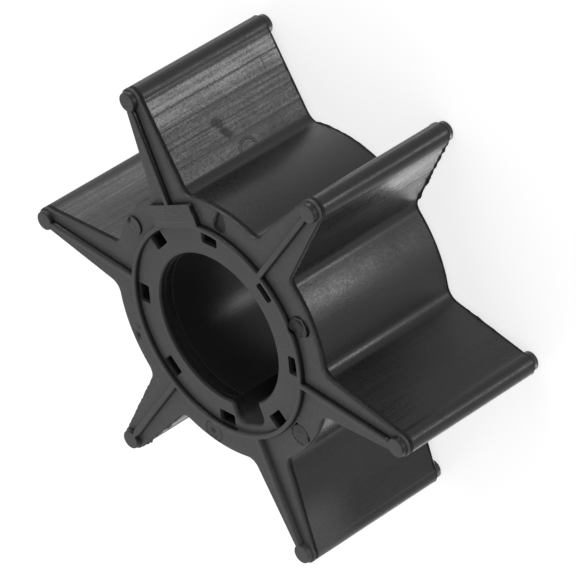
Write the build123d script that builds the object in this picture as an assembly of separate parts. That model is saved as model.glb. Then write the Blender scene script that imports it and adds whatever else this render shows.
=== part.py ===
from build123d import *
import os
from math import atan2, degrees, hypot, pi

os.makedirs("parts", exist_ok=True)

# The impeller stands on its rear face. Z is the shaft axis, with the rear lands at Z = 0
# and the face with the windows, the pad and the gate marks on top.

# Length along the shaft
overall_length = 24.6        # rear land to front land
face_drop = 0.75             # vane side faces below the lands
annulus_drop = 0.65          # flat ring round the bore below the lands
split_depth = 1.2            # mould split line below the lands
split_step = 0.15            # end layer set in from the outline at the split line

# Hub
bore_diameter = 21.0
hub_diameter = 37.4
ring_inner_diameter = 29.2
ring_width = 0.75

# Vanes
vane_count = 6
bead_circle_diameter = 63.5  # circle through the tip bead centres
bead_diameter = 3.2
boss_diameter = 2.7
web_root_width = 6.4         # web width where it leaves the hub
web_tip_width = 3.05         # web width at the bead centre
root_radius = 1.8            # inner corners at the hub and behind the beads
rib_width = 0.95

# Insert moulded into the hub
insert_cover = 2.0           # rubber over each end of the insert
insert_wall = 4.3
spline_count = 12
spline_height = 0.9
spline_width = 3.2
lip_clearance = 0.1          # rubber bore and keyway wider than those of the insert

# Keyway
key_width = 5.1
key_depth = 3.0              # from the bore wall to the keyway floor
key_corner_radius = 1.3
key_angle = -92

# Windows left by the supports that held the insert in the mould
window_count = 8
window_width = 2.6
window_height = 1.85
window_first_angle = 22.5

# Raised pad at the root of one vane
pad_angle = 90
pad_width = 8.6
pad_reach = 17.65            # from the axis to the outer edge of the pad
pad_offset = 0.3             # to the right of the vane's middle

# Gate marks, one between each pair of vanes
gate_diameter = 3.0
# Angle, distance from the axis and height above the side face, below zero for a dimple
gate_marks = [(0, 16.5, 0.5), (60, 17.2, 0.3), (120, 17.2, 0.45),
              (180, 17.2, -0.35), (240, 17.1, -0.3), (300, 16.9, 0.1)]

# Sizes that follow from those above
bore_radius = bore_diameter / 2
hub_radius = hub_diameter / 2
ring_inner_radius = ring_inner_diameter / 2
ring_outer_radius = ring_inner_radius + ring_width
bead_circle_radius = bead_circle_diameter / 2
side_face = overall_length - face_drop
annulus = overall_length - annulus_drop
insert_bottom = annulus_drop + insert_cover
insert_top = annulus - insert_cover
insert_length = insert_top - insert_bottom
insert_radius = bore_radius + insert_wall
vane_angles = [pad_angle + 360 / vane_count * i for i in range(vane_count)]


def turned(angle, shape):
    """The shape turned about the shaft axis."""
    return Rot(0, 0, angle) * shape


def raised(sketch, bottom, top):
    """A flat outline carried from one height to another."""
    return extrude(Pos(0, 0, bottom) * sketch, top - bottom)


def vane_outline():
    """One vane along +X: a web that tapers outwards and ends in a round bead."""
    root, tip = web_root_width / 2, web_tip_width / 2
    web = Polygon((0, root), (0, -root), (hub_radius, -root), (bead_circle_radius, -tip),
                  (bead_circle_radius, tip), (hub_radius, root), align=None)
    return web + Pos(bead_circle_radius, 0) * Circle(bead_diameter / 2)


def impeller_outline():
    """The hub disc and all its vanes, grown and shrunk again to round the inner corners."""
    outline = Circle(hub_radius) + [turned(angle, vane_outline()) for angle in vane_angles]
    grown = offset(outline, root_radius, kind=Kind.ARC)
    return offset(grown, -root_radius, kind=Kind.ARC)


def insert_outline():
    """The insert's ring with square splines that grip the rubber."""
    spline = Pos(insert_radius, 0) * Rectangle(2 * spline_height, spline_width)
    splines = [turned(360 / spline_count * (i + 0.5), spline) for i in range(spline_count)]
    return Circle(insert_radius) + splines


def bore_outline(clearance):
    """The shaft's hole and its keyway, wider by the clearance all round."""
    width = key_width + 2 * clearance
    floor = bore_radius + key_depth + clearance
    slot = Rectangle(floor, width, align=(Align.MIN, Align.CENTER))
    corners = slot.vertices().group_by(Axis.X)[-1]
    slot = fillet(corners, key_corner_radius + clearance)
    return Circle(bore_radius + clearance) + turned(key_angle, slot)


def end_relief(face, land):
    """The ring, the vane ribs and the tip bosses that stand up to the land at one end."""
    low, high = sorted((face, land))
    ring = Circle(ring_outer_radius) - Circle(ring_inner_radius)
    rib_length = bead_circle_radius - ring_inner_radius - ring_width / 2
    rib = Pos(bead_circle_radius, 0) * Rectangle(rib_length, rib_width, align=(Align.MAX, Align.CENTER))
    boss = Pos(bead_circle_radius, 0) * Circle(boss_diameter / 2)
    relief = ring + [turned(angle, rib + boss) for angle in vane_angles]
    return raised(relief, low, high)


def windows():
    """Square holes through the rubber that covers the front end of the insert."""
    window = Pos(ring_inner_radius, 0) * Rectangle(window_height, window_width, align=(Align.MAX, Align.CENTER))
    step = 360 / window_count
    outline = Sketch() + [turned(window_first_angle + step * i, window) for i in range(window_count)]
    return raised(outline, insert_top, overall_length)


def pad():
    """The flat pad between the ring and the foot of one vane's rib."""
    plate = Rectangle(pad_reach - ring_inner_radius, pad_width, align=(Align.MIN, Align.CENTER))
    plate = Pos(ring_inner_radius, -pad_offset) * plate - Circle(ring_inner_radius + ring_width / 2)
    return raised(turned(pad_angle, plate), side_face, overall_length)


def gate_mark(angle, distance, height):
    """A round gate mark that stands above the side face or sinks below it."""
    disc = turned(angle, Pos(distance, 0) * Circle(gate_diameter / 2)) - Circle(ring_outer_radius)
    low, high = sorted((side_face, side_face + height))
    return raised(disc, low, high)


def make_insert():
    """The sleeve inside the hub, with its bore, keyway and splines."""
    sleeve = raised(insert_outline(), insert_bottom, insert_top)
    return sleeve - raised(bore_outline(0), insert_bottom, insert_top)


def make_rubber():
    """The one-piece rubber moulding round the insert."""
    outline = impeller_outline()
    end_layer = offset(outline, -split_step, kind=Kind.ARC)
    body = raised(outline, split_depth, overall_length - split_depth)
    body += raised(end_layer, face_drop, split_depth)
    body += raised(end_layer, overall_length - split_depth, side_face)
    body += raised(Circle(ring_outer_radius), annulus_drop, face_drop)
    body += raised(Circle(ring_outer_radius), side_face, annulus)
    body += end_relief(face_drop, 0)
    body += end_relief(side_face, overall_length)
    body += pad()
    for angle, distance, height in gate_marks:
        mark = gate_mark(angle, distance, height)
        body = body + mark if height > 0 else body - mark
    body -= raised(bore_outline(lip_clearance), 0, overall_length)
    body -= raised(insert_outline(), insert_bottom, insert_top)
    body -= windows()
    return body


insert = make_insert()
rubber = make_rubber()
export_step(insert, "parts/hub_insert.step")
export_step(rubber, "parts/rubber_body.step")
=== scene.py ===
import bmesh
import bpy
import numpy as np
from mathutils import Matrix, Vector


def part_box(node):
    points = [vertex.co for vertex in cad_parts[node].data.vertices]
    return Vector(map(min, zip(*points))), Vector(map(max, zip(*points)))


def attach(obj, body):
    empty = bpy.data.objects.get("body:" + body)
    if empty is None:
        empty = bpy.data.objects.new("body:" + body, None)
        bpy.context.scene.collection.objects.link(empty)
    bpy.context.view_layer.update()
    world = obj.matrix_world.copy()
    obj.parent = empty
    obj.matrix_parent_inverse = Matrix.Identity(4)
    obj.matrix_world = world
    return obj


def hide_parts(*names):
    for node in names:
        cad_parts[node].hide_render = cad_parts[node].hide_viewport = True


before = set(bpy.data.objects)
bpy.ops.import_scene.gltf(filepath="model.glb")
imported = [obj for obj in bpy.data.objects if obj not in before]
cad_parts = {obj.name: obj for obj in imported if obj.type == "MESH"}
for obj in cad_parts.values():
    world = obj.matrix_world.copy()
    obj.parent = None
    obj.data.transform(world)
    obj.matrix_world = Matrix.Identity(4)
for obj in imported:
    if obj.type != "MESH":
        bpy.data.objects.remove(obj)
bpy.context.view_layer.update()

# Sizes are in millimetres where nothing else is said, and Shell.mesh turns them into metres.
MM = 0.001

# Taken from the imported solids
body_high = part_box("rubber_body")[1]
insert_low, insert_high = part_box("hub_insert")
LENGTH = body_high.z / MM
REACH = body_high.y / MM                  # axis to the outside of a tip bead
INSERT_BOTTOM = insert_low.z / MM
INSERT_TOP = insert_high.z / MM

# Outline of the moulding
HUB_RADIUS = 18.7
BEAD_RADIUS = 1.6
ROOT_HALF = 3.2                           # half the web at the hub
TIP_HALF = 1.525                          # half the web at the bead
CORNER_RADIUS = 1.8
VANE_ANGLES = [90, 150, 210, 270, 330, 30]

# Levels below the lands at both ends
FACE_DROP = 0.75
ANNULUS_DROP = 0.65
SPLIT_DROP = 1.15
FRONT_INSET, REAR_INSET = 0.02, 0.27      # end layers set in at the mould split
WALL_INSET = 0.03                         # main wall set in behind the edge of the split line
GROOVE_DEPTH, GROOVE_WIDTH = 0.3, 0.3     # groove beside the split line of the front
EDGE_ROUND = 0.06

# Raised details of the end faces
RING_MIDDLE = 14.975
RING_HALF = 0.42
RIB_HALF = 0.5
BOSS_RADIUS = 1.345
BESIDE_BOSS = 1.85                        # from a bead's middle inwards to where the tip part starts

# Bore and keyway
BORE_RADIUS = 10.5
LIP_CLEARANCE = 0.1
LIP_ROUND = 0.38
KEY_HALF = 2.55
KEY_FLOOR = 13.5
KEY_CORNER = 1.3
KEY_MOUTH = 0.35
KEY_ANGLE = -92
KEY_SPAN, KEY_BLEND = 17, 4               # degrees: half the keyway, and the blend beside it

# Insert
SLEEVE_RADIUS = 14.8
SPLINES = 12
SPLINE_REACH = 15.7
SPLINE_HALF = 1.6
SPLINE_FIRST = 15

# Windows, pad and gate marks of the front face
WINDOWS = 8
WINDOW_FIRST = 22.5
WINDOW_INNER, WINDOW_OUTER = 12.75, 14.6
WINDOW_HALF = 1.3
WINDOW_CORNER = 0.22
PAD_LEFT, PAD_RIGHT, PAD_TOP = -4.0, 4.6, 17.65
PAD_CORNER = 0.3
MARK_INNER, MARK_OUTER = 15.2, 18.58      # the marks stay between the ring and the hub's edge
POCKET_DEPTH = 0.5

# Steps of the surfaces
ARC_STEPS = 12                            # along each large arc of the outline
WEB_STEPS = 9                             # across half a web, beside its rib
HUB_STEPS = 5                             # from the ring to the hub's edge
FADE_STEPS = 10                           # along a web until its stations are straight
MARK_STEPS = 64                           # round a gate mark

# Camera, fitted to the tips, the ring and the keyway of the photograph. Angles are in degrees.
CAMERA_AZIMUTH = 18.52
CAMERA_ELEVATION = 33.83
CAMERA_ROLL = 121.5
CAMERA_DISTANCE = 656.1
CAMERA_AIM = (0.34, -0.02, 11.83)
CAMERA_LENS = 321.3

# Strength of the table's own glow and of the white room on matt surfaces
TABLE_GLOW = 0.72
ROOM_FILL = 0.5


def polar(radius, degrees):
    """Points at a radius and an angle about the shaft axis."""
    a = np.radians(degrees)
    return np.stack([radius * np.cos(a), radius * np.sin(a)], -1)


def turned(points, degrees):
    """Flat or solid points turned about the shaft axis."""
    c, s = np.cos(np.radians(degrees)), np.sin(np.radians(degrees))
    out = np.array(points, float)
    out[..., 0] = c * points[..., 0] - s * points[..., 1]
    out[..., 1] = s * points[..., 0] + c * points[..., 1]
    return out


def arc(centre, radius, start, end, steps, hollow=False):
    """Points and outward normals from one angle to another. On a hollow arc they point to the centre."""
    ray = polar(1.0, np.linspace(start, end, steps + 1))
    return np.asarray(centre) + radius * ray, -ray if hollow else ray


def straight(start, end, normal, steps):
    """Points and normals along a line, both ends left out."""
    f = (np.arange(1, steps) / steps)[:, None]
    points = np.asarray(start) * (1 - f) + np.asarray(end) * f
    return points, np.repeat([normal], steps - 1, 0)


def angle_of(v):
    """The direction of a flat vector, in degrees."""
    return np.degrees(np.arctan2(v[1], v[0]))


def half_outline():
    """Half of one sector's outline, from the middle of a gap to the vane's tip.

    A hub arc, a hollow root fillet, the web's straight flank, a hollow neck fillet and the bead's arc
    follow each other with common tangents. Returns points, normals and two marks: the middle of the
    root fillet and the flank point beside the boss.
    """
    bead = np.array([REACH - BEAD_RADIUS, 0.0])
    foot, head = np.array([HUB_RADIUS, ROOT_HALF]), np.array([bead[0], TIP_HALF])
    along = (head - foot) / np.linalg.norm(head - foot)
    out = np.array([-along[1], along[0]])
    shifted = foot + CORNER_RADIUS * out
    p = shifted @ along
    root = shifted + along * (-p + np.sqrt(p * p - shifted @ shifted + (HUB_RADIUS + CORNER_RADIUS) ** 2))
    gap = shifted - bead
    p = gap @ along
    neck = shifted + along * (-p - np.sqrt(p * p - gap @ gap + (BEAD_RADIUS + CORNER_RADIUS) ** 2))
    down = angle_of(-out) % 360
    parts = [arc((0, 0), HUB_RADIUS, 180 / len(VANE_ANGLES), angle_of(root), ARC_STEPS),
             arc(root, CORNER_RADIUS, angle_of(root) + 180, down, ARC_STEPS, hollow=True),
             straight(root - CORNER_RADIUS * out, neck - CORNER_RADIUS * out, out, 40),
             arc(neck, CORNER_RADIUS, down, angle_of(neck - bead) + 180, 4, hollow=True),
             arc(bead, BEAD_RADIUS, angle_of(neck - bead), 0, ARC_STEPS)]
    points = np.concatenate([parts[0][0], parts[1][0][1:], parts[2][0], parts[3][0], parts[4][0][1:]])
    normals = np.concatenate([parts[0][1], parts[1][1][1:], parts[2][1], parts[3][1], parts[4][1][1:]])
    corner = ARC_STEPS + ARC_STEPS // 2
    beside = int(np.argmin(np.abs(points[:, 0] - (bead[0] - BESIDE_BOSS))))
    return points, normals, corner, beside


def whole_outline():
    """The closed outline, anticlockwise: each sector is a mirrored half and then the half itself."""
    points, normals, _, _ = half_outline()
    flip = np.array([1, -1])
    sector = np.concatenate([points * flip, points[::-1][1:-1]])
    rays = np.concatenate([normals * flip, normals[::-1][1:-1]])
    order = sorted(a % 360 for a in VANE_ANGLES)
    return [np.concatenate([turned(part, a) for a in order]) for part in (sector, rays)]


def grid_faces(rows, columns, closed=False):
    """Quads of a grid numbered row by row. A closed grid joins its last column to its first."""
    i = np.arange(rows - 1)[:, None]
    j = np.arange(columns if closed else columns - 1)[None, :]
    a, b = i * columns + j, i * columns + (j + 1) % columns
    return np.stack([a, b, b + columns, a + columns], -1).reshape(-1, 4)


class Shell:
    """Collects grids of points and their faces, and welds them where they meet."""

    def __init__(self):
        self.points, self.faces, self.count = [], [], 0

    def add(self, points, faces, flip=False):
        """Points with faces that count from 0. Flipped faces point the other way."""
        points = np.asarray(points, float).reshape(-1, 3)
        faces = np.asarray(faces)
        self.points.append(points)
        self.faces.append((faces[:, ::-1] if flip else faces) + self.count)
        self.count += len(points)

    def grid(self, points, closed=False, flip=False):
        """Rows of points joined by quads."""
        self.add(points, grid_faces(points.shape[0], points.shape[1], closed), flip)

    def fan(self, ring, centre, flip=False):
        """Triangles from a closed ring of points to one centre point."""
        n = len(ring)
        i = np.arange(n)
        self.add(np.vstack([ring, centre]), np.stack([i, (i + 1) % n, np.full(n, n)], 1), flip)

    def mesh(self, name, weld=0.0005):
        """The welded mesh, in metres."""
        data = bpy.data.meshes.new(name)
        faces = [f for block in self.faces for f in block.tolist()]
        data.from_pydata((np.concatenate(self.points) * MM).tolist(), [], faces)
        work = bmesh.new()
        work.from_mesh(data)
        bmesh.ops.remove_doubles(work, verts=work.verts, dist=weld * MM)
        bmesh.ops.dissolve_degenerate(work, edges=work.edges, dist=weld * MM)
        work.to_mesh(data)
        work.free()
        return data


def put_mesh(name, data):
    """A new object that shows the mesh."""
    obj = bpy.data.objects.new(name, data)
    bpy.context.scene.collection.objects.link(obj)
    return obj


def ease(x):
    """Runs smoothly from 0 to 1 as x does: three squares of x less two cubes."""
    x = np.clip(x, 0, 1)
    return x * x * (3 - 2 * x)


def ripple(x, y, seed, octaves=3):
    """Soft random waves between about -1 and 1: a sum of sines with seeded directions and phases."""
    random = np.random.default_rng(seed)
    total, weight = 0, 0
    for octave in range(octaves):
        for _ in range(4):
            way, phase = random.uniform(0, 2 * np.pi, 2)
            size = 2.0 ** octave * random.uniform(0.8, 1.25)
            total = total + np.sin(size * (x * np.cos(way) + y * np.sin(way)) + phase) / 2 ** octave
            weight += 0.5 / 2 ** octave
    return total / weight


def bump_height(distance, half, height, base):
    """A rounded bead across its width, flat on top with steep sides.

    Its share of the height is (1 - x^4.5)^0.42, where x is the distance as a share of the half width.
    """
    x = np.clip(np.abs(distance) / half, 0, 1)
    crown = np.clip(1 - x ** 4.5, 0, 1) ** 0.42
    return base + (height - base) * crown


# Lines of the end faces: across half a rib, across the ring, and in the flat ring round the bore
RIB_LINES = RIB_HALF * np.array([0, 0.3, 0.5, 0.66, 0.78, 0.87, 0.94, 0.985, 1.0, 1.12])
RING_LINES = RING_MIDDLE + RING_HALF * np.array([-1.35, -1.0, -0.985, -0.94, -0.86, -0.74, -0.55, -0.3, 0,
                                                 0.3, 0.55, 0.74, 0.86, 0.94, 0.985, 1.0, 1.3])
ANNULUS_LINES = [8.0, 9.6, 11.0, 12.4, 13.6]
# Each ring of a tip boss: share of its radius, and drop below the land
BOSS_RINGS = [(0.992, 0.68), (0.975, 0.16), (0.955, 0.07), (0.91, 0.015), (0.8, 0), (0.45, 0)]
NO_RIB = -9.0                             # a level below every face


def ring_height(r):
    """Level of the annulus, the ring and the side face by distance from the axis, from the land down."""
    base = np.where(r < RING_MIDDLE, -ANNULUS_DROP, -FACE_DROP)
    return bump_height(r - RING_MIDDLE, RING_HALF, 0, base)


def rib_height(t):
    """Level of a rib and the side face by distance from the rib's middle, from the land down."""
    return bump_height(t, RIB_HALF, 0, -FACE_DROP)


def lateral_lines(edge):
    """Distances of the lines across half a web: first the rib's own lines, then even steps to its edge."""
    f = np.arange(1, WEB_STEPS + 1) / WEB_STEPS
    last = RIB_LINES[-1]
    return np.concatenate([np.broadcast_to(RIB_LINES, edge.shape + RIB_LINES.shape),
                           last + (edge[..., None] - last) * f], -1)


def end_face(inset):
    """One sector of an end face along +X, as grids of points whose height is counted from the land.

    The hub part has lines that leave the axis and stations at set distances. The web part continues
    the middle lines outwards, with straight stations from flank to flank. The tip part has rings about
    the bead's centre, from the outline to the boss and over it.
    """
    points, normals, corner, beside = half_outline()
    rim = points - inset * normals
    joint = rim[corner]
    joint_radius, joint_angle = np.hypot(*joint), np.arctan2(joint[1], joint[0])
    side = rim[corner - 1::-1]
    side_radius, side_angle = np.hypot(side[:, 0], side[:, 1]), np.arctan2(side[:, 1], side[:, 0])
    inner = np.concatenate([ANNULUS_LINES, RING_LINES])
    out = np.arange(1, HUB_STEPS + 1) / HUB_STEPS
    start = inner[-1]

    middle_r = np.concatenate([inner, start + (joint_radius - start) * out])
    middle_t = lateral_lines(middle_r * np.sin(joint_angle))
    middle_s = np.sqrt(middle_r[:, None] ** 2 - middle_t ** 2)
    middle_z = np.maximum(ring_height(middle_r)[:, None],
                          np.where(middle_r[:, None] > RING_MIDDLE, rib_height(middle_t), NO_RIB))
    side_r = np.concatenate([np.repeat(inner[:, None], len(side), 1),
                             start + (side_radius[None] - start) * out[:, None]])
    side_z = ring_height(side_r)
    half = np.stack([np.hstack([middle_s, side_r * np.cos(side_angle)]),
                     np.hstack([middle_t, side_r * np.sin(side_angle)]),
                     np.hstack([middle_z, side_z])], -1)
    hub = mirrored(half)

    flank = rim[corner:beside + 1]
    t = lateral_lines(flank[:, 1])
    fade = np.clip(1 - np.arange(len(flank)) / FADE_STEPS, 0, 1)[:, None]
    bow = t * (joint[1] / flank[:, 1:])
    s = flank[:, :1] + fade * (np.sqrt(joint_radius ** 2 - bow ** 2) - joint[0])
    web = mirrored(np.stack([s, t, rib_height(t)], -1))

    bead = np.array([REACH - BEAD_RADIUS, 0.0])
    across = web[-1][::-1]
    tail = rim[beside + 1:]
    loop = np.concatenate([across[:, :2], tail * [1, -1], tail[::-1][1:]])
    rib = np.concatenate([across[:, 2], np.full(len(loop) - len(across), NO_RIB)])
    arm = loop - bead
    reach, ray = np.hypot(arm[:, 0], arm[:, 1]), arm / np.hypot(arm[:, 0], arm[:, 1])[:, None]
    base = BOSS_RADIUS + 0.012
    rings = [(reach, -FACE_DROP), ((reach + base) / 2, -FACE_DROP), (base + 0 * reach, -FACE_DROP)]
    for share, drop in BOSS_RINGS:
        rings.append((BOSS_RADIUS * share + 0 * reach, -drop))
    tip = []
    for radius, level in rings:
        flat = bead + radius[:, None] * ray
        tip.append(np.column_stack([flat, np.maximum(level, rib)]))
    return hub, web, np.array(tip), np.array([bead[0], 0, 0.0])


def mirrored(half):
    """A grid with its other half added, so that its columns run from right to left."""
    return np.concatenate([half[:, :0:-1] * [1, -1, 1], half], 1)


def raise_face(points, top):
    """Heights counted from a land become heights from the floor: upwards at the top, downwards below."""
    out = np.array(points)
    out[..., 2] = LENGTH + out[..., 2] if top else -out[..., 2]
    return out


def wall_profile():
    """Inset and height up the side wall: rounded edge, end layer, split line and main wall at either end.

    A narrow groove runs in the main wall beside the split line of the front. Also returns the split
    line's place in the profile.
    """
    turn = np.radians([0, 30, 60, 90])
    start = SPLIT_DROP + 0.04
    end = start + GROOVE_WIDTH
    ends = []
    for inset, groove in ((REAR_INSET, WALL_INSET), (FRONT_INSET, GROOVE_DEPTH)):
        edge = [(inset + EDGE_ROUND * (1 - np.sin(a)), FACE_DROP + EDGE_ROUND * (1 - np.cos(a)))
                for a in turn]
        layer = [(inset, SPLIT_DROP - 0.05), (max(inset - 0.03, 0.0), SPLIT_DROP - 0.01)]
        main = [(0.0, SPLIT_DROP), (groove, start), (groove, end), (WALL_INSET, end + 0.1)]
        ends.append(np.array(edge + layer + main))
    levels = np.linspace(SPLIT_DROP + 1.2, LENGTH - SPLIT_DROP - 1.2, 9)
    middle = np.column_stack([np.full(len(levels), WALL_INSET), levels])
    high = ends[1][::-1] * [1, -1] + [0, LENGTH]
    return np.concatenate([ends[0], middle, high]), len(edge + layer)


def flash(points, seed, low):
    """How far the thin flash stands out along the split line.

    It is a low fringe of ripples with torn bits here and there, and fades out towards the tips.
    """
    x, y = points[:, 0], points[:, 1]
    fringe = low + 0.07 * ripple(3.4 * x, 3.4 * y, seed)
    where = ease((ripple(0.35 * x, 0.35 * y, seed + 1) - 0.05) / 0.5)
    bits = np.clip(ripple(2.6 * x, 2.6 * y, seed + 2) - 0.15, 0, 1) * 0.22
    away = np.clip((REACH - 1.2 - np.hypot(x, y)) / 0.8, 0, 1)
    return (np.clip(fringe, 0, 1) + bits * where) * away


def moulding_blank():
    """The whole moulding before its bore, windows, pad and marks.

    The side wall is the profile carried round the outline, and each end is one sector's grids turned
    to every vane, with a fan of triangles in the middle.
    """
    shell = Shell()
    outline, normals = whole_outline()
    profile, split_row = wall_profile()
    wall = np.zeros((len(profile), len(outline), 3))
    for row, (inset, height) in enumerate(profile):
        shift = np.full(len(outline), inset)
        if row == split_row:
            shift = shift - flash(outline, seed=11, low=0.14)
        if row == len(profile) - 1 - split_row:
            shift = shift - flash(outline, seed=31, low=0.2)
        wall[row, :, :2] = outline - shift[:, None] * normals
        wall[row, :, 2] = height
    shell.grid(wall, closed=True)
    for top in (True, False):
        hub, web, tip, centre = end_face((FRONT_INSET if top else REAR_INSET) + EDGE_ROUND)
        for angle in VANE_ANGLES:
            for part in (hub, web):
                shell.grid(turned(raise_face(part, top), angle), flip=top)
            rings = turned(raise_face(tip, top), angle)
            shell.grid(rings, closed=True, flip=not top)
            shell.fan(rings[-1], turned(raise_face(centre[None], top), angle), flip=not top)
        spokes = np.concatenate([turned(raise_face(hub[0][:-1], top), a) for a in sorted(VANE_ANGLES)])
        shell.fan(spokes, raise_face(np.array([[0, 0, -ANNULUS_DROP]]), top), flip=not top)
    return shell.mesh("blank")


def prism(shell, loops):
    """A closed solid through a stack of loops, each anticlockwise, with a flat face at either end."""
    loops = np.asarray(loops)
    n = loops.shape[1]
    shell.grid(loops, closed=True)
    shell.add(loops[0], np.arange(n)[None], flip=True)
    shell.add(loops[-1], np.arange(n)[None])


def stacked(points, normals, rows):
    """Loops of an outline grown by each row's first value and lifted to its second."""
    return [np.column_stack([points + grow * normals, np.full(len(points), height)])
            for grow, height in rows]


def bore_path():
    """The bore and its keyway, anticlockwise, with normals into the material.

    The keyway lies along +X until it is turned: flat floor, rounded floor corners, straight sides and
    rounded mouth corners that run into the bore's arc. Also returns 1 on the round bore and 0 on the
    keyway.
    """
    corner = np.array([KEY_FLOOR - KEY_CORNER, KEY_HALF - KEY_CORNER])
    lift = KEY_HALF + KEY_MOUTH
    mouth = np.array([np.sqrt((BORE_RADIUS + KEY_MOUTH) ** 2 - lift ** 2), lift])
    parts = [straight((KEY_FLOOR, -corner[1]), (KEY_FLOOR, corner[1]), (1.0, 0.0), 6),
             arc(corner, KEY_CORNER, 0, 90, 8),
             straight((corner[0], KEY_HALF), (mouth[0], KEY_HALF), (0.0, 1.0), 4),
             arc(mouth, KEY_MOUTH, 270, angle_of(-mouth) % 360, 5, hollow=True),
             arc((0, 0), BORE_RADIUS, angle_of(mouth), 360 - angle_of(mouth), 150)]
    parts[4] = (parts[4][0][1:-1], parts[4][1][1:-1])
    flip = np.array([1, -1])
    parts += [(p[::-1] * flip, n[::-1] * flip) for p, n in parts[3:0:-1]]
    points, normals = (np.concatenate([part[k] for part in parts]) for k in (0, 1))
    apart = np.abs((np.degrees(np.arctan2(points[:, 1], points[:, 0])) + 180) % 360 - 180)
    round_part = ease((apart - KEY_SPAN) / KEY_BLEND)
    return turned(points, KEY_ANGLE), turned(normals, KEY_ANGLE), round_part


def bore_loops(clearance, rounding, bottom, top):
    """Loops of the bore and keyway from below the bottom to above the top, with both mouths rounded.

    The clearance widens the round bore only: the keyway stays flush from end to end.
    """
    points, normals, round_part = bore_path()
    turn = np.radians([0, 18, 36, 54, 70])
    high = [(rounding * (1 - np.cos(a)), top - rounding * (1 - np.sin(a))) for a in turn]
    high.append((high[-1][0] + 0.02, top + 1.5))
    rows = [(grow, bottom + top - height) for grow, height in high[::-1]] + high
    start = points + (clearance * round_part)[:, None] * normals
    return stacked(start, normals, rows)


def sleeve_path():
    """The insert's outer outline: an arc between each two square splines."""
    foot = angle_of((np.sqrt(SLEEVE_RADIUS ** 2 - SPLINE_HALF ** 2), SPLINE_HALF))
    pitch = 360 / SPLINES
    spline = np.array([(SPLINE_REACH, -SPLINE_HALF), (SPLINE_REACH, SPLINE_HALF)])
    valley = polar(SLEEVE_RADIUS, np.linspace(foot, pitch - foot, 5))
    return np.concatenate([turned(np.concatenate([spline, valley]), SPLINE_FIRST + pitch * i)
                           for i in range(SPLINES)])


def flat_loops(points, heights):
    """One outline lifted to each height."""
    return [np.column_stack([points, np.full(len(points), height)]) for height in heights]


def rounded_block(low, high, corner, steps=4):
    """A rectangle with rounded corners, anticlockwise, with outward normals."""
    (x0, y0), (x1, y1) = low, high
    centres = [(x1 - corner, y1 - corner), (x0 + corner, y1 - corner),
               (x0 + corner, y0 + corner), (x1 - corner, y0 + corner)]
    parts = [arc(c, corner, 90 * k, 90 * k + 90, steps) for k, c in enumerate(centres)]
    return np.concatenate([p for p, _ in parts]), np.concatenate([n for _, n in parts])


def on_arc(points):
    """Bends a block so that its x becomes the distance from the axis: x runs along circles."""
    out = np.array(points)
    out[..., 0] = np.sqrt(points[..., 0] ** 2 - points[..., 1] ** 2)
    return out


def window_holes(shell):
    """Eight square windows down to the insert, a little wider at the face."""
    low, high = (WINDOW_INNER, -WINDOW_HALF), (WINDOW_OUTER, WINDOW_HALF)
    points, normals = rounded_block(low, high, WINDOW_CORNER)
    top = LENGTH - ANNULUS_DROP
    rows = [(0.0, INSERT_TOP - 1.2), (0.0, top - 0.16), (0.05, top - 0.03), (0.12, top + 0.02),
            (0.14, top + 0.06)]
    loops = np.array(stacked(points, normals * [0.35, 1], rows))
    for i in range(WINDOWS):
        prism(shell, turned(on_arc(loops), WINDOW_FIRST + 360 / WINDOWS * i))


def pad_outline():
    """The pad's outline: its inner edge follows the ring's crest, and its right edge was cut unevenly."""
    points, normals = rounded_block((PAD_LEFT, RING_MIDDLE), (PAD_RIGHT, PAD_TOP), PAD_CORNER)
    inner = points[:, 1] < RING_MIDDLE + 0.4
    points[inner, 1] += np.sqrt(RING_MIDDLE ** 2 - points[inner, 0] ** 2) - RING_MIDDLE
    y = np.linspace(points[-1, 1], points[0, 1], 16)[1:-1]
    cut = np.column_stack([PAD_RIGHT + 0.05 * ripple(4 * y, 0 * y, 3) + 0.12 * ease((16.3 - y) / 0.2), y])
    return np.concatenate([points, cut]), np.concatenate([normals, np.repeat([[1.0, 0.0]], len(cut), 0)])


def pad_pocket(shell):
    """The space that the pad takes from the ring and the rib."""
    points, normals = pad_outline()
    prism(shell, stacked(points, normals, [(-0.04, LENGTH - 0.72), (-0.04, LENGTH + 1)]))


def pad_plate(shell):
    """The flat pad from the ring's crest to its straight outer edge, with softly rounded edges."""
    points, normals = pad_outline()
    top = LENGTH - 0.01
    rows = [(0.03, LENGTH - 1.2), (0.03, LENGTH - FACE_DROP + 0.02), (0.0, LENGTH - 0.6), (0.0, top - 0.1),
            (-0.03, top - 0.03), (-0.1, top), (-0.16, top)]
    prism(shell, stacked(points, normals * [1, 0.4], rows))


def spot(x, y, middle, size):
    """A soft dot: 1 at its middle, falling off as a bell curve."""
    return np.exp(-((x - middle[0]) ** 2 + (y - middle[1]) ** 2) / size ** 2)


def hoop(x, y, middle, radius, width):
    """A soft ring about a middle: a bell curve by the distance from its radius."""
    return np.exp(-((np.hypot(x - middle[0], y - middle[1]) - radius) / width) ** 2)


# Height of each gate mark over the side face, in mm from the mark's middle along X and Y

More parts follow.
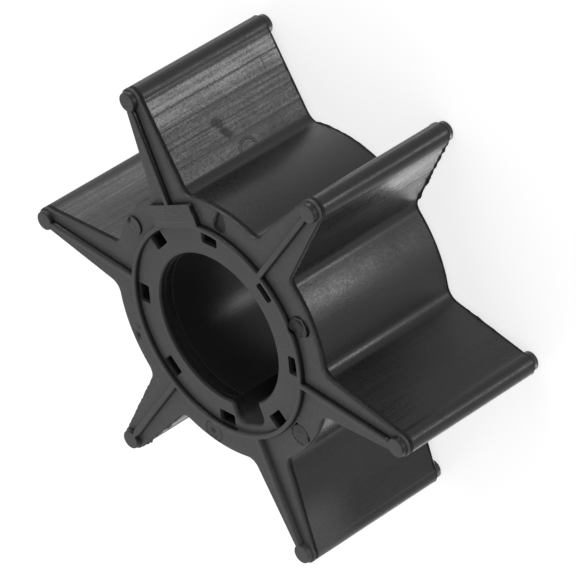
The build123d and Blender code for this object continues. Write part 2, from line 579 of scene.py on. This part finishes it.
def right_mark(x, y):
    """Stands well proud and slopes down to one side, with a curved ridge and two nicks."""
    beside_ring = ease((15.8 - np.hypot(x + 16.7, y + 0.3)) / 0.45) * ease((y + 0.5) / 0.5)
    return ((0.3 + 0.08 * x + 0.03 * ripple(2.2 * x, 2.2 * y, 5)) * ease((y + 1.6) / 0.75) + 0.02
            + 0.3 * beside_ring
            + 0.07 * hoop(x, y, (-0.6, -0.4), 1.6, 0.12) - 0.07 * hoop(x, y, (-0.6, -0.4), 1.85, 0.1)
            - 0.15 * spot(x, y, (0.1, -0.85), 0.22) - 0.1 * spot(x, y, (-0.8, -0.3), 0.3)
            - 0.25 * spot(x, y, (1.05, 0.95), 0.45))


def torn_mark(x, y):
    """Torn along a slanting line: a flat sliver on one side, a tear that slopes up on the other."""
    across = 0.717 * x - 0.697 * y + 0.6
    slope = np.minimum(-0.24 + 0.13 * across, 0.0)
    return 0.04 + (slope - 0.04) * ease(across / 0.1) + 0.012 * ripple(2 * x, 2 * y, 8)


def upper_mark(x, y):
    """Stands proud, with a round witness line and small scratches."""
    return (0.29 + 0.03 * ripple(2.5 * x, 2.5 * y, 9) + 0.07 * hoop(x, y, (-0.5, -0.1), 0.6, 0.12)
            - 0.08 * spot(x, y, (-0.2, -0.75), 0.18) - 0.08 * spot(x, y, (0.25, -0.8), 0.15)
            - 0.4 * spot(x, y, (-0.5, 1.0), 0.4))


def left_mark(x, y):
    """A shallow smudged dimple."""
    return (-0.2 * spot(x, y, (-0.29, -0.5), 0.4) - 0.08 * spot(x, y, (0.56, 0.62), 0.25)
            + 0.02 * ripple(3 * x, 3 * y, 12) * spot(x, y, (0, 0), 1.0))


def lower_mark(x, y):
    """Concentric rings about a sunken middle."""
    middle = (-0.1, 0.2)
    return (-0.16 * spot(x, y, middle, 0.38) - 0.05 * hoop(x, y, middle, 0.95, 0.13)
            + 0.04 * hoop(x, y, middle, 1.2, 0.13) - 0.03 + 0.012 * ripple(3 * x, 3 * y, 14))


def flush_mark(x, y):
    """Nearly flush, slightly crowned, with a pip off its middle."""
    return (0.08 + 0.05 * hoop(x, y, (0.05, 0.5), 0.4, 0.12) - 0.06 * spot(x, y, (0.05, 0.5), 0.15)
            + 0.01 * ripple(2 * x, 2 * y, 16))


# Angle, distance from the axis, radius, drop at the rim, surface, and the width of the groove round the
# mark by direction. Below zero the mark runs into the face without a groove.
GATE_MARKS = [
    (1, 16.7, 1.48, 0.05, right_mark, {-75: -0.02, -58: 0.12, -30: 0.28, -5: 0.22, 10: 0.05, 40: 0.0,
                                       60: 0.03, 130: 0.03, 145: -0.02}),
    (60, 17.05, 1.5, 0.03, torn_mark, {0: 0.02}),
    (122, 17.35, 1.33, 0.07, upper_mark, {-30: 0.05, 60: 0.04, 90: -0.02, 240: -0.02, 290: 0.03}),
    (181, 17.3, 1.18, 0.0, left_mark, {0: -0.02}),
    (237.2, 17.36, 1.47, 0.05, lower_mark, {-75: 0.05, -20: 0.06, 20: 0.02, 70: 0.05, 120: 0.05,
                                            160: 0.02}),
    (300, 17.0, 1.45, 0.05, flush_mark, {-42: 0.03, -34: 0.22, -18: 0.22, -8: 0.0, 72: 0.0, 80: 0.22,
                                         92: 0.22, 100: 0.02, 150: 0.08, 250: 0.08, 280: 0.01})]


def mark_reach(middle, radius, ray):
    """How far a mark reaches each way: its radius, or less where the ring or the hub's edge is nearer."""
    along, square = ray @ middle, middle @ middle
    outer = -along + np.sqrt(along ** 2 + MARK_OUTER ** 2 - square)
    room = along ** 2 + MARK_INNER ** 2 - square
    inner = np.where((room > 0) & (along < 0), -along - np.sqrt(np.maximum(room, 0)), radius)
    return np.minimum(np.minimum(outer, inner), radius)


def mark_pocket(shell, mark):
    """The hole that a mark is set in: the mark's rim grown by its groove, from the pocket's floor up."""
    angle, distance, radius, _, _, grooves = mark
    turn = np.arange(MARK_STEPS) * 360 / MARK_STEPS
    groove = np.interp(turn, list(grooves), list(grooves.values()), period=360)
    middle, ray = polar(distance, angle), polar(1.0, turn)
    rim = middle + (mark_reach(middle, radius, ray) + groove)[:, None] * ray
    face = LENGTH - FACE_DROP
    prism(shell, flat_loops(rim, (face - POCKET_DEPTH, LENGTH - 0.05)))


def mark_plug(shell, mark):
    """Rings of points from the foot of the mark, up its side and over its top to the middle."""
    angle, distance, radius, drop, top, _ = mark
    middle, ray = polar(distance, angle), polar(1.0, np.arange(MARK_STEPS) * 360 / MARK_STEPS)
    reach = mark_reach(middle, radius, ray)
    face = LENGTH - FACE_DROP
    shares = np.array([1, 0.985, 0.955, 0.9, 0.83, 0.75, 0.66, 0.57, 0.48, 0.39, 0.3, 0.2, 0.1])
    offsets = shares[:, None, None] * reach[:, None] * ray
    fall = drop * np.clip((shares - 0.9) / 0.1, 0, 1) ** 2
    heights = face + top(offsets[..., 0], offsets[..., 1]) - fall[:, None]
    rings = np.concatenate([middle + offsets, heights[..., None]], -1)
    foot = np.column_stack([rings[0][:, :2], np.full(MARK_STEPS, face - POCKET_DEPTH - 0.15)])
    shell.grid(np.concatenate([foot[None], rings]), closed=True)
    shell.fan(rings[-1], np.array([[*middle, face + float(top(0.0, 0.0))]]))
    shell.add(foot, np.arange(MARK_STEPS)[None], flip=True)


def carve(obj, tool, operation):
    """Cuts the tool from the object, or joins it on, and applies the result to the object's mesh."""
    other = put_mesh("tool", tool)
    change = obj.modifiers.new("carve", "BOOLEAN")
    change.operation = operation
    change.solver = "MANIFOLD"
    change.object = other
    bpy.context.view_layer.update()
    result = bpy.data.meshes.new_from_object(obj.evaluated_get(bpy.context.evaluated_depsgraph_get()))
    obj.modifiers.clear()
    obj.data = result
    bpy.data.objects.remove(other)


def finish_mesh(obj, name, degrees, weld=0.002):
    """Merges slivers left by the cuts, smooths the shading and keeps edges sharper than the angle crisp."""
    work = bmesh.new()
    work.from_mesh(obj.data)
    bmesh.ops.remove_doubles(work, verts=work.verts, dist=weld * MM)
    bmesh.ops.dissolve_degenerate(work, edges=work.edges, dist=weld * MM)
    bmesh.ops.triangulate(work, faces=[f for f in work.faces if len(f.verts) > 4])
    work.to_mesh(obj.data)
    work.free()
    obj.data.polygons.foreach_set("use_smooth", [True] * len(obj.data.polygons))
    obj.data.set_sharp_from_angle(angle=np.radians(degrees))
    obj.data.name = name
    obj.name = name


def make_moulding():
    """The rubber: the blank less bore, cavity and windows, with its pad and gate marks set in."""
    body = put_mesh("rubber_moulding", moulding_blank())
    tool = Shell()
    prism(tool, bore_loops(LIP_CLEARANCE, LIP_ROUND, ANNULUS_DROP, LENGTH - ANNULUS_DROP))
    carve(body, tool.mesh("bore"), "DIFFERENCE")
    tool = Shell()
    prism(tool, flat_loops(sleeve_path(), (INSERT_BOTTOM, INSERT_TOP)))
    carve(body, tool.mesh("cavity"), "DIFFERENCE")
    tool = Shell()
    window_holes(tool)
    carve(body, tool.mesh("windows"), "DIFFERENCE")
    for make, operation in ((pad_pocket, "DIFFERENCE"), (pad_plate, "UNION")):
        tool = Shell()
        make(tool)
        carve(body, tool.mesh("pad"), operation)
    for make, operation in ((mark_pocket, "DIFFERENCE"), (mark_plug, "UNION")):
        tool = Shell()
        for mark in GATE_MARKS:
            make(tool, mark)
        carve(body, tool.mesh("marks"), operation)
    finish_mesh(body, "rubber_moulding", 32)
    return body


def make_sleeve():
    """The hard sleeve: a splined block from end to end of the cavity, less the bore and keyway."""
    sleeve_shell = Shell()
    prism(sleeve_shell, flat_loops(sleeve_path(), (INSERT_BOTTOM, INSERT_TOP)))
    sleeve = put_mesh("hard_sleeve", sleeve_shell.mesh("sleeve"))
    tool = Shell()
    prism(tool, bore_loops(0, 0.04, INSERT_BOTTOM, INSERT_TOP))
    carve(sleeve, tool.mesh("bore"), "DIFFERENCE")
    finish_mesh(sleeve, "hard_sleeve", 35)
    return sleeve


class Nodes:
    """Short ways to add and join nodes in one tree."""

    def __init__(self, tree):
        self.tree = tree

    def add(self, kind, inputs=(), **settings):
        """A new node with values or links on its inputs."""
        node = self.tree.nodes.new("ShaderNode" + kind)
        for name, value in settings.items():
            setattr(node, name, value)
        for name, value in dict(inputs).items():
            self.put(node.inputs[name], value)
        return node

    def put(self, socket, value):
        """Links an output to the socket, or sets the socket's own value."""
        if isinstance(value, bpy.types.NodeSocket):
            self.tree.links.new(value, socket)
        else:
            socket.default_value = value

    def math(self, operation, a, b=0.0):
        return self.add("Math", {0: a, 1: b}, operation=operation).outputs[0]

    def sum(self, *values):
        total = values[0]
        for value in values[1:]:
            total = self.math("ADD", total, value)
        return total

    def product(self, *values):
        total = values[0]
        for value in values[1:]:
            total = self.math("MULTIPLY", total, value)
        return total

    def ramp(self, value, low, high, start=0.0, end=1.0):
        """From start to end, smoothly, as the value goes from low to high."""
        inputs = {"Value": value, "From Min": low, "From Max": high, "To Min": start, "To Max": end}
        return self.add("MapRange", inputs, interpolation_type="SMOOTHSTEP").outputs["Result"]

    def mix(self, share, a, b):
        """The first value where the share is 0, the second where it is 1."""
        return self.sum(self.product(a, self.math("SUBTRACT", 1.0, share)), self.product(b, share))

    def near(self, value, middle, width):
        """1 where the value equals the middle, 0 from a width away."""
        return self.ramp(self.math("ABSOLUTE", self.math("SUBTRACT", value, middle)), 0.0, width, 1.0, 0.0)

    def noise(self, vector, scale, detail=2.0, roughness=0.5):
        """Soft random values about a half."""
        inputs = {"Vector": vector, "Scale": scale, "Detail": detail, "Roughness": roughness}
        return self.add("TexNoise", inputs).outputs[0]

    def stretched(self, vector, factors):
        """The vector with each part times its factor."""
        return self.add("VectorMath", {0: vector, 1: factors}, operation="MULTIPLY").outputs[0]

    def millimetres(self):
        """The place on the piece, in millimetres."""
        return self.stretched(self.add("TexCoord").outputs["Object"], (1 / MM, 1 / MM, 1 / MM))

    def group(self, tree, vector):
        """The outputs of a node group at each place."""
        return self.add("Group", {"Vector": vector}, node_tree=tree).outputs


def new_group(name, outputs):
    """An empty node group with a vector input and float outputs."""
    tree = bpy.data.node_groups.new(name, "ShaderNodeTree")
    tree.interface.new_socket(name="Vector", in_out="INPUT", socket_type="NodeSocketVector")
    for socket in outputs:
        tree.interface.new_socket(name=socket, in_out="OUTPUT", socket_type="NodeSocketFloat")
    return tree, tree.nodes.new("NodeGroupInput").outputs, tree.nodes.new("NodeGroupOutput").inputs


def grain_group():
    """Fine grain of a moulded skin, as a height in mm, with its specks and soft patches between 0 and 1."""
    tree, given, result = new_group("moulded_grain", ["Grain", "Specks", "Patches"])
    n = Nodes(tree)
    fine = n.noise(given["Vector"], 2.8, 2.0, 0.65)
    coarse = n.noise(given["Vector"], 0.9, 2.0)
    n.put(result["Grain"], n.sum(n.product(fine, 0.026), n.product(coarse, 0.02)))
    n.put(result["Specks"], n.ramp(fine, 0.3, 0.7))
    n.put(result["Patches"], n.ramp(n.noise(given["Vector"], 0.32, 3.0, 0.6), 0.3, 0.7))
    return tree


def streak_group():
    """Fine lines along the shaft axis, left by a polished mould: a height in mm, and a tone from 0 to 1."""
    tree, given, result = new_group("drawn_lines", ["Height", "Tone"])
    n = Nodes(tree)
    fine = n.noise(n.stretched(given["Vector"], (2.4, 2.4, 0.05)), 1.0, 2.0)
    broad = n.noise(n.stretched(given["Vector"], (0.7, 0.7, 0.03)), 1.0, 3.0)
    n.put(result["Height"], n.sum(n.product(n.math("SUBTRACT", fine, 0.5), 0.02), n.product(broad, 0.03)))
    n.put(result["Tone"], n.ramp(fine, 0.35, 0.65))
    return tree


def keyway_light_group():
    """Matt finish and painted light in the keyway: 1 on its floor near the front face, fading deeper down
    its walls where less light reaches, 0 in the round bore.
    """
    tree, given, result = new_group("keyway_matt_and_light", ["Matt"])
    n = Nodes(tree)
    x, y, z = n.add("SeparateXYZ", {0: given["Vector"]}).outputs
    along, side = polar(1.0, KEY_ANGLE), polar(1.0, KEY_ANGLE + 90)
    outward = n.sum(n.product(x, float(along[0])), n.product(y, float(along[1])))
    sideways = n.math("ABSOLUTE", n.sum(n.product(x, float(side[0])), n.product(y, float(side[1]))))
    fade = n.product(n.ramp(outward, 9.6, 13.6), n.ramp(z, 14.0, 22.5))
    n.put(result["Matt"], n.product(fade, n.ramp(sideways, 2.9, 3.4, 1.0, 0.0)))
    return tree


# Marks on one flank of the vane along +Y, by distance along Y and height
TOOL_LINES = (31.0, 28.9, 26.6, 24.2, 21.6)
WITNESS_Y, WITNESS_Z, WITNESS_RADIUS = 19.5, 11.6, 1.35
# Each lobe of the scuff: middle and half width along Y, lean, and middle and half width upwards
SCUFF_LOBES = [(24.4, 1.1, 0.35, 6.0, 1.6), (22.7, 1.7, 0.5, 2.5, 1.2)]


def flank_marks(n, x, y, z, point):
    """Tool lines, a round witness mark and a scuff on one flank of the vane along +Y.

    Returns their height in mm, and the scuff as a mask with a ragged edge.
    """
    wander = n.product(n.math("SUBTRACT", n.noise(n.stretched(point, (0, 0, 0.3)), 1.0), 0.5), 0.3)
    level = n.sum(y, wander)
    lines = n.sum(*[n.near(level, at, 0.15) for at in TOOL_LINES])
    cross = n.product(n.near(z, 4.1, 0.14), n.near(y, 27.8, 3.0))
    from_mark = n.math("SQRT", n.sum(n.math("POWER", n.math("SUBTRACT", y, WITNESS_Y), 2.0),
                                     n.math("POWER", n.math("SUBTRACT", z, WITNESS_Z), 2.0)))
    ring = n.near(from_mark, WITNESS_RADIUS, 0.3)
    scuff = n.sum(*[n.product(n.near(y, middle, half), n.near(n.sum(z, n.product(y, -lean)), level, rise))
                    for middle, half, lean, level, rise in SCUFF_LOBES])
    here = n.product(n.ramp(x, 0.0, 1.0), n.ramp(y, 18.9, 19.3))
    height = n.sum(n.product(lines, -0.014), n.product(cross, -0.01), n.product(ring, 0.03))
    ragged = n.sum(scuff, n.noise(point, 1.1, 3.0, 0.6), -0.5)
    return n.product(height, here), n.product(n.ramp(ragged, 0.15, 0.75), here)


# Darker spots on the gate marks, partly real stains and partly painted shade in their grooves, pits and
# tears: middle along X and Y, size of the even part, whole size and depth
GATE_STAINS_AND_SHADE = [(16.4, 0.3, 1.2, 1.6, 0.9), (17.2, -0.3, 0.1, 0.9, 0.5), (18.04, 0.52, 0, 0.25, 0.9),
          (16.71, -0.61, 0.05, 0.35, 0.95), (8.4, 14.5, 1.05, 1.25, 0.97), (8.95, 15.45, 0.6, 0.8, 0.97),
          (-9.7, 15.7, 0.3, 0.8, 0.97), (-17.59, -0.8, 0.1, 0.8, 0.97), (-17.98, -1.39, 0.05, 0.35, 0.95),
          (-16.74, 0.32, 0.05, 0.35, 0.8), (-18.1, 0.05, 0, 0.3, 0.8), (-17.1, 0.7, 0.1, 0.4, 0.5),
          (-9.5, -14.4, 0.1, 0.9, 0.8), (-9.5, -15.55, 0.05, 0.4, 0.7), (-8.9, -15.1, 0, 0.3, 0.6),
          (-9.6, -13.4, 0.1, 0.4, 0.6), (-8.16, -15.35, 0.1, 0.3, 0.6), (-8.5, -15.75, 0.1, 0.3, 0.6),
          (-8.89, -16.01, 0.1, 0.3, 0.6), (-8.15, -14.9, 0.1, 0.3, 0.5), (8.45, -14.75, 1.2, 1.6, 0.45),
          (8.44, -13.33, 0.1, 0.35, 0.95), (9.67, -15.19, 0.1, 0.4, 0.95), (9.75, -15.7, 0.05, 0.35, 0.8),
          (8.52, -14.17, 0, 0.3, 0.75), (7.25, -14.0, 0.2, 0.45, 0.9), (7.05, -14.6, 0.2, 0.45, 0.9),
          (7.14, -15.2, 0.2, 0.45, 0.9), (7.5, -15.72, 0.2, 0.45, 0.9), (8.05, -16.05, 0.2, 0.45, 0.9)]


def mark_stains_and_shade(n, z, point):
    """How dark the front face is at each place, from stains and painted shade round the gate marks: 0 away
    from them.
    """
    flat = n.stretched(point, (1, 1, 0))
    total = 0.0
    for x, y, even, whole, depth in GATE_STAINS_AND_SHADE:
        away = n.add("VectorMath", {0: flat, 1: (x, y, 0)}, operation="DISTANCE").outputs["Value"]
        total = n.math("MAXIMUM", total, n.ramp(away, even, whole, depth, 0.0))
    return n.product(total, n.ramp(z, LENGTH - 1.6, LENGTH - 1.4))


def pad_streaks(n, x, y, z, point):
    """Ragged lines across the pad's top, as a height in mm."""
    inside = n.product(n.ramp(z, LENGTH - 0.2, LENGTH - 0.1), n.near(x, 0.3, 4.6), n.ramp(y, 15.2, 15.5))
    lines = n.noise(n.stretched(point, (0.35, 3.2, 0)), 1.0, 3.0, 0.6)
    return n.product(inside, lines, 0.2)


def blasted_skin_and_keyway_light(n, z, keyway):
    """Where the mould was blasted, 0 to 1: end faces and the thin layer at the front edge. In the keyway it
    also paints light, lighter near the mouth.
    """
    normal = n.add("SeparateXYZ", {0: n.add("NewGeometry").outputs["Normal"]}).outputs
    faces = n.ramp(n.math("ABSOLUTE", normal["Z"]), 0.6, 0.9)
    split, face = LENGTH - SPLIT_DROP, LENGTH - FACE_DROP
    layer = n.product(n.ramp(z, split - 0.05, split + 0.05), n.ramp(z, face - 0.02, face + 0.03, 0.6, 0.0))
    return n.math("MAXIMUM", faces, n.math("MAXIMUM", layer, n.product(keyway, 0.8)))


def painted_shade_edges(n, reach, z, polished):
    """Painted shade, 0 to 1: in the groove beside the front split line, and on the bore's lip."""
    split = LENGTH - SPLIT_DROP
    groove = n.product(n.ramp(z, split - 0.62, split - 0.5), n.ramp(z, split - 0.08, split, 1.0, 0.0),
                       polished)
    lip = n.product(n.ramp(reach, 10.72, 10.92, 0.95, 0.0), n.ramp(z, LENGTH - 1.6, LENGTH - 1.3))
    return groove, lip


# The vanes' own skin: distance from the axis where it starts and where it is full
VANE_START, VANE_FULL = 19.5, 22.0
# The duller skin of the vanes on the -X side: X where it is full and where it has faded out
LEFT_FULL, LEFT_END = -14.0, -6.0


def rubber_material(grain_tree, streak_tree, keyway_light_tree):
    """Black rubber: satin where the steel mould was polished, matt and greyer where it was blasted."""
    material = bpy.data.materials.new("moulded_rubber")
    material.use_nodes = True
    n = Nodes(material.node_tree)
    shader = material.node_tree.nodes["Principled BSDF"]
    point = n.millimetres()
    x, y, z = n.add("SeparateXYZ", {0: point}).outputs
    reach = n.math("SQRT", n.sum(n.product(x, x), n.product(y, y)))
    # In the keyway this mask also paints light: a lighter grey near the mouth, fading deeper down.
    blasted = blasted_skin_and_keyway_light(n, z, n.group(keyway_light_tree, point)["Matt"])
    polished = n.math("SUBTRACT", 1.0, blasted)
    groove_painted_shade, lip_painted_shade = painted_shade_edges(n, reach, z, polished)
    grain, specks, patches = n.group(grain_tree, point)
    streaks, tone = n.group(streak_tree, point)
    marks, scuff = flank_marks(n, x, y, z, point)
    vane = n.ramp(reach, VANE_START, VANE_FULL)
    hub = n.math("SUBTRACT", 1.0, vane)
    left = n.ramp(x, LEFT_FULL, LEFT_END, 1.0, 0.0)
    mottle = n.sum(n.product(patches, 0.008), n.product(specks, 0.016), 0.055)
    grey = n.mix(blasted, n.sum(n.product(specks, 0.004), 0.009), mottle)
    # Darkened by the scuff, by stains and painted shade round the gate marks, and by painted shade in the
    # groove under the front split line and on the bore's lip.
    grey = n.product(grey, n.ramp(scuff, 0, 1, 1.0, 0.6), n.math("SUBTRACT", 1.0, mark_stains_and_shade(n, z, point)),
                     n.math("SUBTRACT", 1.0, groove_painted_shade), n.math("SUBTRACT", 1.0, lip_painted_shade))
    n.put(shader.inputs["Base Color"], n.add("CombineColor", {0: grey, 1: grey, 2: grey}).outputs[0])
    skin = n.sum(n.product(patches, 0.04), n.product(specks, 0.09), n.product(tone, vane, 0.08))
    wear = n.sum(n.product(groove_painted_shade, 0.6), n.product(scuff, 0.14), n.product(left, 0.09))
    by_reach = n.sum(n.ramp(reach, 25.5, 28.5, 0.26, 0.14), n.ramp(reach, 30.4, 31.2, 0.0, 0.12))
    by_height = n.product(n.ramp(z, 5.0, 19.0, 0.12, -0.03), hub)
    n.put(shader.inputs["Roughness"], n.mix(blasted, n.sum(skin, wear, by_reach, by_height), 0.6))
    shader.inputs["Specular IOR Level"].default_value = 0.3
    drawn = n.product(streaks, n.mix(vane, 0.15, 1.0), n.mix(left, 1.0, 0.8))
    wall = n.product(n.sum(drawn, marks), polished)
    height = n.sum(n.product(grain, n.mix(blasted, 0.45, 1.0)), wall, pad_streaks(n, x, y, z, point))
    bump = n.add("Bump", {"Height": n.product(height, MM), "Distance": 1.0, "Strength": 1.0})
    n.put(shader.inputs["Normal"], bump.outputs[0])
    return material


def sleeve_material(grain_tree, streak_tree, keyway_light_tree):
    """Black glass-filled plastic: speckled where the fibres show, with lines along the bore."""
    material = bpy.data.materials.new("hard_plastic")
    material.use_nodes = True
    n = Nodes(material.node_tree)
    shader = material.node_tree.nodes["Principled BSDF"]
    point = n.millimetres()
    matt = n.group(keyway_light_tree, point)["Matt"]
    grain, specks, patches = n.group(grain_tree, point)
    streaks, tone = n.group(streak_tree, point)
    # In the keyway the lighter grey near the front face is painted light; the higher roughness there is a
    # matt finish.
    grey = n.mix(matt, 0.017, n.ramp(patches, 0, 1, 0.045, 0.06))
    n.put(shader.inputs["Base Color"], n.add("CombineColor", {0: grey, 1: grey, 2: grey}).outputs[0])
    gloss = n.sum(n.product(specks, 0.05), n.product(tone, 0.02), 0.27)
    n.put(shader.inputs["Roughness"], n.mix(matt, gloss, 0.6))
    shader.inputs["Specular IOR Level"].default_value = 0.2
    height = n.sum(n.product(grain, 0.45), n.product(streaks, 0.2))
    bump = n.add("Bump", {"Height": n.product(height, MM), "Distance": 1.0, "Strength": 1.0})
    n.put(shader.inputs["Normal"], bump.outputs[0])
    return material


def seen_rays(n):
    """1 for rays to the camera and for the reflections and refractions of what it sees, 0 for the rest."""
    path = n.add("LightPath").outputs
    seen = n.math("MAXIMUM", path["Is Camera Ray"], path["Is Glossy Ray"])
    return n.math("MAXIMUM", seen, path["Is Transmission Ray"])


def floor_material():
    """Pale and matt, with a glow that lights nothing, so that it stays white beside its shadow.

    It is clear from below.
    """
    material = bpy.data.materials.new("white_table")
    material.use_nodes = True
    n = Nodes(material.node_tree)
    shader = material.node_tree.nodes["Principled BSDF"]
    shader.inputs["Base Color"].default_value = (0.6, 0.6, 0.6, 1)
    shader.inputs["Roughness"].default_value = 0.9
    shader.inputs["Emission Color"].default_value = (1, 1, 1, 1)
    n.put(shader.inputs["Emission Strength"], n.product(seen_rays(n), TABLE_GLOW))
    n.put(shader.inputs["Alpha"], n.math("SUBTRACT", 1.0, n.add("NewGeometry").outputs["Backfacing"]))
    return material


moulding = make_moulding()
sleeve = make_sleeve()
finishes = grain_group(), streak_group(), keyway_light_group()
for piece, node, slot, material in [(moulding, "rubber_body", "rubber", rubber_material(*finishes)),
                                    (sleeve, "hub_insert", "insert", sleeve_material(*finishes))]:
    piece.data.materials.clear()
    piece.data.materials.append(material)
    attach(piece, "root")
    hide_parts(node)

# The table is seen by the camera alone, with the shadow on it, so that the lamps under it light the part
TABLE_HALF = 4                            # in metres
table_mesh = bpy.data.meshes.new("table")
table_mesh.from_pydata([(-TABLE_HALF, -TABLE_HALF, 0), (TABLE_HALF, -TABLE_HALF, 0),
                        (TABLE_HALF, TABLE_HALF, 0), (-TABLE_HALF, TABLE_HALF, 0)], [], [(0, 1, 2, 3)])
table = put_mesh("table", table_mesh)
table.data.materials.append(floor_material())
table.visible_diffuse = table.visible_glossy = table.visible_transmission = table.visible_shadow = False


def view_axes():
    """The camera's right, up and backward directions from its azimuth, elevation and roll."""
    azimuth, elevation, roll = np.radians([CAMERA_AZIMUTH, CAMERA_ELEVATION, CAMERA_ROLL])
    level = np.cos(elevation)
    back = Vector((level * np.cos(azimuth), level * np.sin(azimuth), np.sin(elevation)))
    upright = (Vector((0, 0, 1)) - back * back.z).normalized()
    up = upright * np.cos(roll) + (-back).cross(upright) * np.sin(roll)
    return (-back).cross(up), up, back


right, up, back = view_axes()
camera_data = bpy.data.cameras.new("camera")
camera_data.lens = CAMERA_LENS
camera_data.sensor_width = 36
camera_data.clip_start = 0.01
camera = bpy.data.objects.new("camera", camera_data)
place = Matrix((right, up, back)).transposed().to_4x4()
place.translation = (Vector(CAMERA_AIM) + back * CAMERA_DISTANCE) * MM
camera.matrix_world = place
bpy.context.scene.collection.objects.link(camera)
bpy.context.scene.camera = camera


# Softboxes a metre from the part: azimuth and elevation in degrees, width in metres and power in watts
SOFTBOXES = {"right": (0, -34, 0.26, 1.9), "right_low": (0, -12, 0.3, 1.0), "behind": (90, -12, 0.3, 2.1),
             "behind_high": (75, 8, 0.3, 1.1), "upper_left": (120, -34, 0.26, 0.48),
             "left": (240, -34, 0.26, 0.25), "under": (258, -60, 0.45, 4.0), "front": (210, 32, 0.38, 0.9)}


def softbox(name, azimuth, elevation, width, power):
    """A round lamp that faces the middle of the part from a metre away."""
    lamp = bpy.data.lights.new(name, "AREA")
    lamp.shape = "DISK"
    lamp.size = width
    lamp.energy = power
    obj = bpy.data.objects.new(name, lamp)
    a, e = np.radians([azimuth, elevation])
    way = Vector((np.cos(e) * np.cos(a), np.cos(e) * np.sin(a), np.sin(e)))
    middle = Vector((0, 0, LENGTH / 2 * MM))
    obj.matrix_world = Matrix.Translation(way + middle) @ way.to_track_quat("Z", "Y").to_matrix().to_4x4()
    obj.visible_camera = False
    bpy.context.scene.collection.objects.link(obj)


def white_room():
    """A white room: 1 to the camera and in reflections, and a lower fill on matt surfaces."""
    world = bpy.data.worlds.new("white_room")
    world.use_nodes = True
    n = Nodes(world.node_tree)
    wall = world.node_tree.nodes["Background"]
    wall.inputs["Color"].default_value = (1, 1, 1, 1)
    n.put(wall.inputs["Strength"], n.ramp(seen_rays(n), 0, 1, ROOM_FILL, 1.0))
    bpy.context.scene.world = world


for box, setting in SOFTBOXES.items():
    softbox(box, *setting)
white_room()
bpy.context.scene.view_settings.view_transform = "Standard"

bpy.context.view_layer.update()
